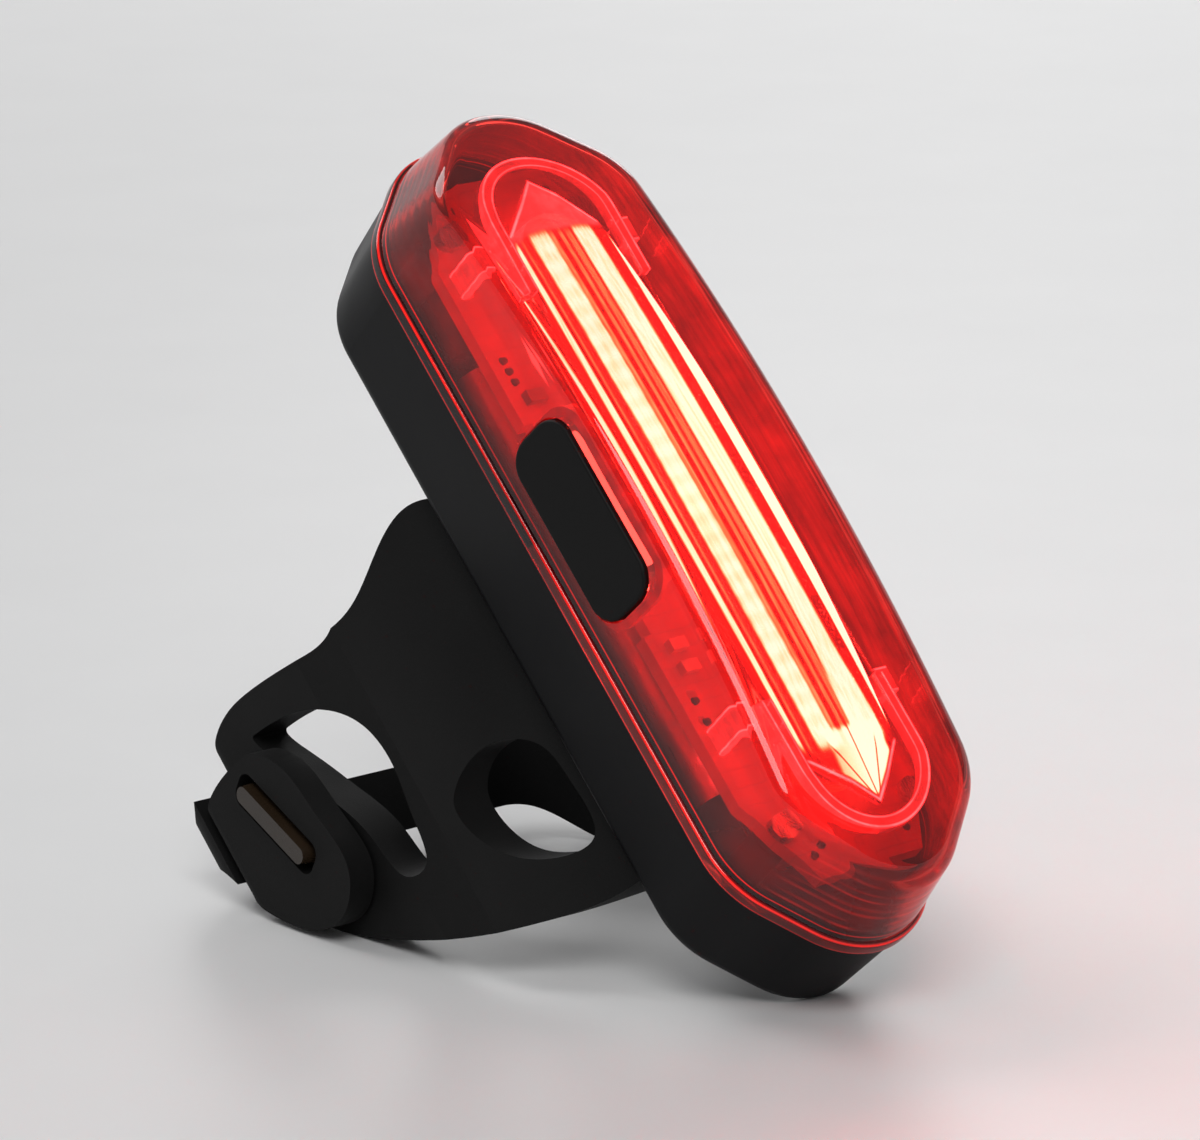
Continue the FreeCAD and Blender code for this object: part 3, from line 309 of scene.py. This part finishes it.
def redBoard():
    # board with painted glow as if lit from inside, faint traces, and two pointed slivers of painted highlight
    # beside the guide
    look = boardLook
    f = Finish("redBoard")
    p = f.lampPlace()
    x, _, z = f.parts(p)
    flat = f.node("ShaderNodeMapping", None, {"Vector": p, "Rotation": (math.pi / 2, 0, 0)})
    traces = f.node("ShaderNodeTexBrick", {"offset": 0.5}, {
        "Vector": flat, "Scale": 0.16, "Mortar Size": 0.01, "Mortar Smooth": 0.3}, out="Fac")
    shine = sum(f.clamp(abs(x - a) * 3.0 + abs(z - b) * 0.36, 1.0, 0.6) for a, b in look["slivers"])
    lit = f.clamp(abs(z), 30.0, 24.0, 0.3, 1.0) * f.clamp(abs(x), 5.6, 6.6, 0.45, 1.0) \
        * f.clamp(f.noise(p, 5.0, 2.0), 0.3, 0.7, 0.5, 1.0)
    glow = f.mix(f.clamp(shine, 0.0, 1.0, soft=False), f.mix(lit, rgb(*look["dim"]), rgb(*look["lit"])),
                 rgb(*look["sliver"]))
    return f.wear(f.surface(Base_Color=f.mix(traces, rgb(*look["tone"]), rgb(*look["trace"])), Roughness=0.35,
                            Normal=f.bump(traces, 0.4, 0.00003), Emission_Color=glow,
                            Emission_Strength=look["glow"]))


def plainPlastic(name, base, rough):
    f = Finish(name)
    p = f.lampPlace()
    tone = f.mix(f.clamp(f.noise(p, 2.0), 0.35, 0.7), rgb(*base), rgb(*[min(1, c * 1.25) for c in base]))
    return f.wear(f.surface(Base_Color=tone, Roughness=f.clamp(f.noise(p, 1.0), 0.3, 0.7,
                                                               rough - 0.05, rough + 0.05)))


def redRubber():
    # boot round the button, with painted glow as if lit through
    f = Finish("redRubber")
    p = f.lampPlace()
    cloud = f.clamp(f.noise(p, 1.6, 2.0), 0.35, 0.65)
    return f.wear(f.surface(Base_Color=f.mix(cloud, rgb(0.4, 0.012, 0.01), rgb(0.55, 0.02, 0.015)),
                            Roughness=0.5, Normal=f.bump(f.noise(p, 0.2), 0.2, 0.00002),
                            Emission_Color=f.mix(cloud, rgb(0.5, 0.01, 0.008), rgb(1.0, 0.03, 0.03)),
                            Emission_Strength=0.5))


def frostedGlowBlock():
    # pale switch housing with a painted pink glow of the lamp's light
    f = Finish("frostedGlow")
    p = f.lampPlace()
    grain = f.clamp(f.noise(p, 0.6, 3.0), 0.35, 0.65)
    return f.wear(f.surface(Base_Color=f.mix(grain, rgb(0.6, 0.5, 0.5), rgb(0.75, 0.66, 0.66)),
                            Roughness=0.45, Normal=f.bump(grain, 0.3, 0.00003),
                            Emission_Color=f.mix(grain, rgb(0.6, 0.14, 0.2), rgb(1.0, 0.3, 0.4)),
                            Emission_Strength=1.6))


def plated(name, base, rough):
    # brushed bright metal
    f = Finish(name)
    p = f.lampPlace()
    brushed = f.drawn(p, (8.0, 8.0, 0.5))
    return f.wear(f.surface(Base_Color=rgb(*base), Metallic=1.0,
                            Roughness=f.clamp(brushed, 0.3, 0.7, rough - 0.08, rough + 0.1),
                            Normal=f.bump(brushed, 0.2, 0.00001)))


caseBlack = mouldedBlack("caseBlack", (0.003, 0.003, 0.0035), 0.42, 0.12, 0.00002, 0.12)
buttonBlack = mouldedBlack("buttonBlack", (0.003, 0.003, 0.003), 0.5, 0.1, 0.00002, 0.15)
rubberBlack = mouldedBlack("rubberBlack", (0.005, 0.005, 0.005), 0.66, 0.16, 0.00004, 0.14)
pegBrown = mouldedBlack("pegBrown", (0.018, 0.011, 0.006), 0.26, 0.2, 0.00001, 0.5)
lensRed, guideLit, stripLit, boardRed = redLens(), guideGlow(), litStrip(), redBoard()
steel = plated("steelPlated", (0.62, 0.62, 0.64), 0.3)
foil = plated("cellFoil", (0.75, 0.76, 0.78), 0.35)
dressing = {
    "rear_case": caseBlack, "lens_seal": rubberBlack, "front_lens": lensRed, "button_cap": buttonBlack,
    "button_boot": redRubber(), "switch_body": frostedGlowBlock(),
    "switch_plunger": plainPlastic("switchBlack", (0.03, 0.03, 0.03), 0.4), "lamp_board": boardRed,
    "light_strip": stripLit, "charge_chip": plainPlastic("chipBlack", (0.02, 0.02, 0.022), 0.4),
    "charge_lights": plainPlastic("chipClear", (0.85, 0.83, 0.78), 0.2),
    "small_parts": plainPlastic("chipTan", (0.4, 0.28, 0.18), 0.45),
    "inductor": plainPlastic("ferrite", (0.08, 0.08, 0.085), 0.5), "board_screws": steel,
    "light_guide": guideLit, "battery_cell": foil, "battery_pads": rubberBlack,
    "battery_lead_red": plainPlastic("wireRed", (0.6, 0.02, 0.015), 0.35),
    "battery_lead_black": plainPlastic("wireBlack", (0.015, 0.015, 0.015), 0.35),
    "charge_socket": steel, "socket_tongue": plainPlastic("tongueBlack", (0.02, 0.02, 0.02), 0.4),
    "socket_board": plainPlastic("boardGreen", (0.03, 0.18, 0.07), 0.35), "charge_flap": rubberBlack,
    "saddle_strap": rubberBlack, "mount_plate": caseBlack, "mount_screws": steel,
    "strap_tab": rubberBlack, "hook_peg": pegBrown,
}
for name, finish in dressing.items():
    mesh = nodes[name].data
    mesh.materials.clear()
    mesh.materials.append(finish)
print("finishes: done")

# ---- front lens, smooth: rings of the outline drawn in step by step
lens = {"width": 22.5, "length": 75.0, "endRadius": 8.3, "lip": 1.1, "step": 0.35, "side": 8.3, "arch": 3.56,
        "draft": math.tan(math.radians(8)), "wall": 1.1, "round": 1.7}
lens["sweep"] = ((lens["length"] / 2) ** 2 + lens["arch"] ** 2) / (2 * lens["arch"])


def lampOutline(bends=9, runs=24):
    # points (x, z) of the outline with the way out at each, once round
    halfWide, halfLong, r = lens["width"] / 2, lens["length"] / 2, lens["endRadius"]
    shoulder, tip, slant = halfLong - halfWide, halfLong - r, math.cos(math.radians(45))
    quarter = [(halfWide, shoulder * i / runs, 1.0, 0.0) for i in range(runs)]
    for i in range(bends + 1):
        a = math.radians(45 * i / bends)
        quarter.append((halfWide - r + r * math.cos(a), shoulder + r * math.sin(a), math.cos(a), math.sin(a)))
    start, end = quarter[-1], (r * slant, tip + r * slant)
    quarter += [(start[0] + (end[0] - start[0]) * i / 4, start[1] + (end[1] - start[1]) * i / 4, slant, slant)
                for i in range(1, 4)]
    for i in range(bends + 1):
        a = math.radians(45 + 45 * i / bends)
        quarter.append((r * math.cos(a), tip + r * math.sin(a), math.cos(a), math.sin(a)))
    half = quarter + [(-x, z, -nx, nz) for x, z, nx, nz in reversed(quarter[1:-1])] + [(-halfWide, 0.0, -1.0, 0.0)]
    return half + [(x, -z, nx, -nz) for x, z, nx, nz in reversed(half[1:-1])]


def archAt(z, depth):
    r = lens["sweep"] - depth
    return lens["side"] + lens["arch"] - lens["sweep"] + math.sqrt(r * r - z * z)


def lensRings(depth, rounding):
    # rings from the parting face over the shoulder to the middle of the arched face
    spots = lampOutline()
    inset = lambda h: lens["step"] + depth + lens["draft"] * (h - lens["lip"])
    at = lambda s, i, h: Vector((s[0] - s[2] * i, -h, s[1] - s[3] * i))
    rings = []
    if depth:
        rings.append([at(s, inset(0), 0) for s in spots])
    else:
        rings.append([at(s, 0, 0) for s in spots])
        rings.append([at(s, 0, lens["lip"] - lens["step"]) for s in spots])
        for i in range(1, 5):
            a = math.radians(22.5 * i)
            rings.append([at(s, lens["step"] * (1 - math.cos(a)),
                             lens["lip"] - lens["step"] * (1 - math.sin(a))) for s in spots])
    turn = math.radians(41)
    reach, weight = rounding * math.tan(turn), math.cos(turn)
    feet, corners, crests = [], [], []
    for s in spots:
        h = lens["side"]
        for _ in range(4):
            h = archAt(s[1] - s[3] * inset(h), depth)
        low = h - reach * math.cos(math.radians(8))
        inner = inset(h) + reach
        feet.append(at(s, inset(low), low))
        corners.append(at(s, inset(h), h))
        crests.append(at(s, inner, archAt(s[1] - s[3] * inner, depth)))
    base = rings[-1]
    for i in range(1, 5):
        rings.append([a.lerp(b, i / 5) for a, b in zip(base, feet)])
    for i in range(9):
        t = i / 8
        a, b, c = (1 - t) ** 2, 2 * t * (1 - t) * weight, t * t
        rings.append([(p * a + q * b + r * c) / (a + b + c) for p, q, r in zip(feet, corners, crests)])
    shoulder = lens["length"] / 2 - lens["width"] / 2
    for i in range(1, 9):
        s = 1 - i / 8
        ring = []
        for p in crests:
            end = math.copysign(shoulder, p.z)
            z = p.z if abs(p.z) < shoulder else end + (p.z - end) * s
            ring.append(Vector((p.x * s, -archAt(z, depth), z)))
        rings.append(ring)
    return rings


def solidLens():
    bm = bmesh.new()
    ends = []
    for depth, rounding in ((0.0, lens["round"]), (lens["wall"], 0.6)):
        rings = [[bm.verts.new(place(*p)) for p in ring] for ring in lensRings(depth, rounding)]
        count = len(rings[0])
        for low, high in zip(rings, rings[1:]):
            for i in range(count):
                j = (i + 1) % count
                face = [low[i], low[j], high[j], high[i]]
                bm.faces.new(face if depth else face[::-1])
        ends.append(rings[0])
    outer, inner = ends
    for i in range(len(outer)):
        j = (i + 1) % len(outer)
        bm.faces.new([outer[i], outer[j], inner[j], inner[i]])
    bmesh.ops.remove_doubles(bm, verts=bm.verts, dist=1e-6)
    bmesh.ops.dissolve_degenerate(bm, edges=bm.edges, dist=1e-7)
    bmesh.ops.recalc_face_normals(bm, faces=bm.faces)
    return bm


opening = {"height": 6.04, "along": 0.5, "tall": 6.5, "long": 16.5, "round": 2.3, "slack": 0.15,
           "inside": -6.75, "outside": -13.75}


def buttonCutter():
    # rounded block through the left wall, as large as the button and its slack
    bm = bmesh.new()
    slack = opening["slack"]
    halfY, halfZ, r = opening["tall"] / 2 + slack, opening["long"] / 2 + slack, opening["round"] + slack
    ring = []
    for sy, sz, start in ((1, 1, 0), (-1, 1, 90), (-1, -1, 180), (1, -1, 270)):
        for i in range(13):
            a = math.radians(start + 7.5 * i)
            ring.append((sy * (halfY - r) + r * math.cos(a) - opening["height"],
                         sz * (halfZ - r) + r * math.sin(a) + opening["along"]))
    ends = [[bm.verts.new(place(x, y, z)) for y, z in ring] for x in (opening["inside"], opening["outside"])]
    for i in range(len(ring)):
        j = (i + 1) % len(ring)
        bm.faces.new([ends[0][i], ends[0][j], ends[1][j], ends[1][i]])
    bm.faces.new(ends[0][::-1])
    bm.faces.new(ends[1])
    bmesh.ops.recalc_face_normals(bm, faces=bm.faces)
    return bm


def madeObject(name, bm, finish=None):
    mesh = bpy.data.meshes.new(name)
    bm.to_mesh(mesh)
    bm.free()
    if finish:
        mesh.materials.append(finish)
    made = bpy.data.objects.new(name, mesh)
    scene.collection.objects.link(made)
    return made


def evaluated(made):
    # the object's mesh with its modifiers worked in
    bpy.context.view_layer.update()
    graph = bpy.context.evaluated_depsgraph_get()
    mesh = bpy.data.meshes.new_from_object(made.evaluated_get(graph))
    made.modifiers.clear()
    made.data = mesh


def smoothed(made, angle):
    made.data.shade_smooth()
    made.data.set_sharp_from_angle(angle=math.radians(angle))


clearLens = madeObject("clearLens", solidLens(), lensRed)
cutter = madeObject("buttonCutter", buttonCutter())
cut = clearLens.modifiers.new("opening", "BOOLEAN")
cut.operation, cut.object, cut.solver = "DIFFERENCE", cutter, "EXACT"
evaluated(clearLens)
bpy.data.objects.remove(cutter)
smoothed(clearLens, 40)
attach(clearLens, "lamp")
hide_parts("front_lens")
print("lens: faces", len(clearLens.data.polygons))

# ---- repeated details by Geometry Nodes
class Kit:
    # small builder for a node tree that makes geometry
    def __init__(self, name, inputs):
        self.tree = bpy.data.node_groups.new(name, "GeometryNodeTree")
        self.ids = {}
        for label, (kind, value) in inputs.items():
            made = self.tree.interface.new_socket(label, in_out="INPUT", socket_type=kind)
            if value is not None:
                made.default_value = value
            self.ids[label] = made.identifier
        self.tree.interface.new_socket("Geometry", in_out="OUTPUT", socket_type="NodeSocketGeometry")
        self.given = self.tree.nodes.new("NodeGroupInput")

    def value(self, label):
        return self.given.outputs[label]

    def add(self, kind, sockets, settings=None, out=0):
        node = self.tree.nodes.new(kind)
        for key, value in (settings or {}).items():
            setattr(node, key, value)
        for key, value in sockets.items():
            several = value if isinstance(value, list) else [value]
            for one in several:
                if isinstance(one, bpy.types.NodeSocket):
                    self.tree.links.new(one, node.inputs[key])
                else:
                    node.inputs[key].default_value = one
        return node.outputs[out]

    def joined(self, instances):
        return self.add("GeometryNodeRealizeInstances", {"Geometry": instances})

    def finished(self, geometry, label):
        return self.add("GeometryNodeSetMaterial", {"Geometry": geometry, "Material": self.value(label)})

    def close(self, geometry):
        end = self.tree.nodes.new("NodeGroupOutput")
        self.tree.links.new(geometry, end.inputs[0])


def repeated(name, kit, values, spots=()):
    # object made by the tree from its inputs; spots are given as bare vertices
    mesh = bpy.data.meshes.new(name + "Seed")
    mesh.from_pydata([tuple(v) for v in spots], [], [])
    made = bpy.data.objects.new(name, mesh)
    scene.collection.objects.link(made)
    modifier = made.modifiers.new("make", "NODES")
    modifier.node_group = kit.tree
    for label, value in values.items():
        modifier[kit.ids[label]] = value
    made.update_tag()
    evaluated(made)
    made.data.name = name
    assert len(made.data.polygons) > 0, name
    return made


flatOnBoard = (standing["lean"] + math.pi / 2, 0.0, 0.0)
leds = {"count": 28, "pitch": 1.8, "wide": 2.4, "long": 1.15, "thick": 0.1, "top": 5.0,
        "dot": 0.42, "dotThick": 0.03, "dotRaise": 0.06}
kit = Kit("ledRow", {"Count": ("NodeSocketInt", 10), "Step": ("NodeSocketVector", None),
                     "Start": ("NodeSocketVector", None), "Size": ("NodeSocketVector", None),
                     "Dot": ("NodeSocketFloat", 0.0004), "Turn": ("NodeSocketVector", None),
                     "Finish": ("NodeSocketMaterial", None), "Dot Finish": ("NodeSocketMaterial", None),
                     "Raise": ("NodeSocketVector", None)})
row = kit.add("GeometryNodeMeshLine", {"Count": kit.value("Count"), "Start Location": kit.value("Start"),
                                       "Offset": kit.value("Step")}, {"mode": "OFFSET"})
chip = kit.add("GeometryNodeMeshCube", {"Size": kit.value("Size")})
dot = kit.add("GeometryNodeMeshCylinder", {"Vertices": 16, "Radius": kit.value("Dot"),
                                           "Depth": leds["dotThick"] / 1000})
chips = kit.add("GeometryNodeInstanceOnPoints", {"Points": row, "Instance": chip,
                                                 "Rotation": kit.value("Turn")})
raised = kit.add("GeometryNodeSetPosition", {"Geometry": row, "Offset": kit.value("Raise")})
dots = kit.add("GeometryNodeInstanceOnPoints", {"Points": raised, "Instance": dot,
                                                "Rotation": kit.value("Turn")})
kit.close(kit.add("GeometryNodeJoinGeometry", {"Geometry": [
    kit.finished(kit.joined(chips), "Finish"), kit.finished(kit.joined(dots), "Dot Finish")]}))
height = leds["top"] + leds["thick"] / 2
first = -leds["pitch"] * (leds["count"] - 1) / 2
start = place(0, -height, first)
step = place(0, -height, first + leds["pitch"]) - start
lift = place(0, -leds["dotRaise"], 0) - place(0, 0, 0)
ledRow = repeated("ledRow", kit, {
    "Count": leds["count"], "Start": tuple(start), "Step": tuple(step), "Raise": tuple(lift),
    "Size": tuple(leds[side] / 1000 for side in ("wide", "long", "thick")), "Dot": leds["dot"] / 1000,
    "Turn": flatOnBoard, "Finish": plainPlastic("ledBody", (0.5, 0.1, 0.07), 0.35),
    "Dot Finish": plainPlastic("ledPhosphor", (0.6, 0.12, 0.04), 0.3)})
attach(ledRow, "lamp")

solder = {"size": 0.36, "top": 4.25, "flat": 0.5, "across": (-7.2, 7.4), "along": (-17.5, -15.6, 14.2, 15.2, 16.2),
          "endAcross": (-4.5, 4.5), "endAlong": (30.0, -30.0)}
kit = Kit("solderDots", {"Geometry": ("NodeSocketGeometry", None), "Radius": ("NodeSocketFloat", 0.0003),
                         "Flat": ("NodeSocketVector", None), "Turn": ("NodeSocketVector", None),
                         "Finish": ("NodeSocketMaterial", None)})
ball = kit.add("GeometryNodeMeshUVSphere", {"Segments": 12, "Rings": 6, "Radius": kit.value("Radius")})
points = kit.add("GeometryNodeMeshToPoints", {"Mesh": kit.value("Geometry")})
dots = kit.add("GeometryNodeInstanceOnPoints", {"Points": points, "Instance": ball,
                                                "Rotation": kit.value("Turn"), "Scale": kit.value("Flat")})
smooth = kit.add("GeometryNodeSetShadeSmooth", {"Geometry": kit.joined(dots)})
kit.close(kit.finished(smooth, "Finish"))
spots = [place(x, -solder["top"], z) for z in solder["along"] for x in solder["across"]] \
    + [place(x, -solder["top"], z) for x in solder["endAcross"] for z in solder["endAlong"]]
solderDots = repeated("solderDots", kit, {
    "Radius": solder["size"] / 1000, "Flat": (1.0, 1.0, solder["flat"]), "Turn": flatOnBoard,
    "Finish": plainPlastic("dotDark", (0.02, 0.008, 0.008), 0.4)}, spots)
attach(solderDots, "lamp")
print("details: leds", leds["count"], "solder", len(spots))

# ---- camera, light and table
view = {"spot": (-0.36031632, -0.42060395, 0.1754161), "turn": (75.2859, 0.3729, -40.5354), "lens": 221.11}
camera = bpy.data.objects.new("camera", bpy.data.cameras.new("camera"))
camera.location = view["spot"]
camera.rotation_euler = Euler([math.radians(v) for v in view["turn"]])
camera.data.lens, camera.data.sensor_width, camera.data.sensor_fit = view["lens"], 36.0, "HORIZONTAL"
camera.data.clip_start, camera.data.clip_end = 0.01, 20
scene.collection.objects.link(camera)
scene.camera = camera

# each lamp: where it stands, its width in metres, its watts
lamps = {"key": ((-0.25, -0.30, 0.45), 0.30, 1.25), "fill": ((0.45, 0.40, 0.28), 0.35, 0.75),
         "back": ((-0.10, 0.40, 0.40), 0.30, 0.9)}
aim = Vector((0, 0, 0.03))
for name, (spot, size, watts) in lamps.items():
    data = bpy.data.lights.new(name, "AREA")
    data.shape, data.size, data.energy = "DISK", size, watts
    lamp = bpy.data.objects.new(name, data)
    lamp.location = spot
    lamp.rotation_euler = (aim - Vector(spot)).to_track_quat("-Z", "Y").to_euler()
    scene.collection.objects.link(lamp)

room = {"tone": (0.86, 0.86, 0.87), "light": 0.36, "flat": 2.0, "rise": 1.0, "sides": 96, "steps": 10,
        "low": (0.74, 0.74, 0.74), "high": (0.78, 0.78, 0.78), "near": 0.22, "far": 1.1, "farGlow": 0.4}
world = bpy.data.worlds.new("room")
scene.world = world
world.use_nodes = True
air = world.node_tree.nodes["Background"]
air.inputs["Color"].default_value = rgb(*room["tone"])
air.inputs["Strength"].default_value = room["light"]


def tableTop():
    # pale top; far from the lamps it keeps its tone for the eye, without lighting the object
    f = Finish("tableTop")
    p = f.node("ShaderNodeTexCoord", out="Object")
    away = f.node("ShaderNodeVectorMath", {"operation": "LENGTH"}, {0: p}, out="Value")
    eye = sum(f.node("ShaderNodeLightPath", out=kind)
              for kind in ("Is Camera Ray", "Is Glossy Ray", "Is Transmission Ray"))
    far = f.clamp(away, room["near"], room["far"]) * f.clamp(eye, 0.0, 1.0, soft=False)
    return f.wear(f.surface(
        Base_Color=f.mix(f.noise(p, 0.02, 3.0), rgb(*room["low"]), rgb(*room["high"])), Roughness=0.45,
        Emission_Color=f.mix(far, rgb(0, 0, 0), rgb(1, 1, 1)), Emission_Strength=room["farGlow"]))


def sweptTable():
    # round flat table whose rim rises as a studio sweep
    bm = bmesh.new()
    turns = [math.tau * i / room["sides"] for i in range(room["sides"])]
    rings = []
    for i in range(room["steps"] + 1):
        t = math.pi / 2 * i / room["steps"]
        r, h = room["flat"] + room["rise"] * math.sin(t), room["rise"] * (1 - math.cos(t))
        rings.append([bm.verts.new((r * math.cos(a), r * math.sin(a), h)) for a in turns])
    bm.faces.new(rings[0])
    for low, high in zip(rings, rings[1:]):
        for i in range(len(turns)):
            j = (i + 1) % len(turns)
            bm.faces.new([low[i], low[j], high[j], high[i]])
    bmesh.ops.recalc_face_normals(bm, faces=bm.faces)
    return bm


table = madeObject("table", sweptTable(), tableTop())
table.data.shade_smooth()
scene.view_settings.view_transform = "Standard"
print("stage: done")
